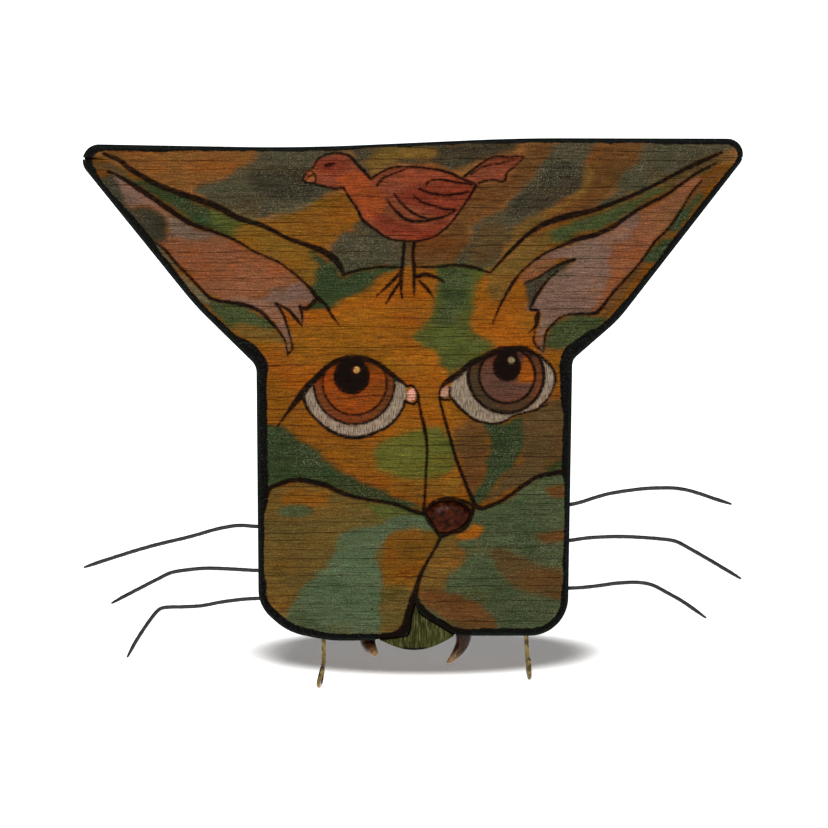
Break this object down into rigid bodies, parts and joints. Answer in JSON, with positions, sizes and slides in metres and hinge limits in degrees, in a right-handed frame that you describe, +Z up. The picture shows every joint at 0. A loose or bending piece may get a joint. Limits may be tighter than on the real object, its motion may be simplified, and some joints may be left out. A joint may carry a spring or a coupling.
{
  "type": "wall key rack",
  "caption": "Flat wooden cat head that hangs on a wall from a ring, with wire whiskers, horn fangs and brass screw hooks under the jaw for keys.",
  "frame": {"origin": "point on the wall where the nail that carries the hanging ring stands", "axes": "+X to the viewer's right, +Y into the wall, so the face looks along -Y, and +Z up"},
  "size_m": [0.3048, 0.0254, 0.2539],
  "materials": {
    "painted_wood": "burned line drawing under translucent stains, worn satin varnish, black edges",
    "chin_paint": "brushed olive green paint",
    "nose_lacquer": "dark brown gloss lacquer",
    "black_wire": "dark annealed wire, dull and slightly uneven",
    "horn": "polished brown horn with pale streaks",
    "brass": "aged brass plating",
    "zinc": "zinc plated",
    "rubber": "dark grey rubber"
  },
  "bodies": {
    "head": {"head_board": "painted_wood", "chin": "chin_paint", "nose": "nose_lacquer", "whisker_left_top": "black_wire", "whisker_left_middle": "black_wire", "whisker_left_bottom": "black_wire", "whisker_right_top": "black_wire", "whisker_right_middle": "black_wire", "whisker_right_bottom": "black_wire", "fang_left": "horn", "fang_right": "horn", "hanger_strap": "zinc", "hanger_screw_upper": "zinc", "hanger_screw_lower": "zinc", "wall_bumper_left": "rubber", "wall_bumper_right": "rubber"},
    "ring": {"hanger_ring": "zinc"},
    "left_hook": {"hook_left": "brass"},
    "right_hook": {"hook_right": "brass"}
  },
  "joints": [
    {"name": "hanger_ring_swing", "type": "hinge", "parent": "head", "child": "ring", "pos_m": [0, -0.00205, -0.0136], "axis": [-1, 0, 0], "range_deg": [0, 170]},
    {"name": "hook_left_turn", "type": "hinge", "parent": "head", "child": "left_hook", "pos_m": [-0.0414, -0.0135, -0.2015], "axis": [0, 0, 1], "range_deg": [-60, 60]},
    {"name": "hook_right_turn", "type": "hinge", "parent": "head", "child": "right_hook", "pos_m": [0.0524, -0.0135, -0.1992], "axis": [0, 0, 1], "range_deg": [-60, 60]}
  ]
}
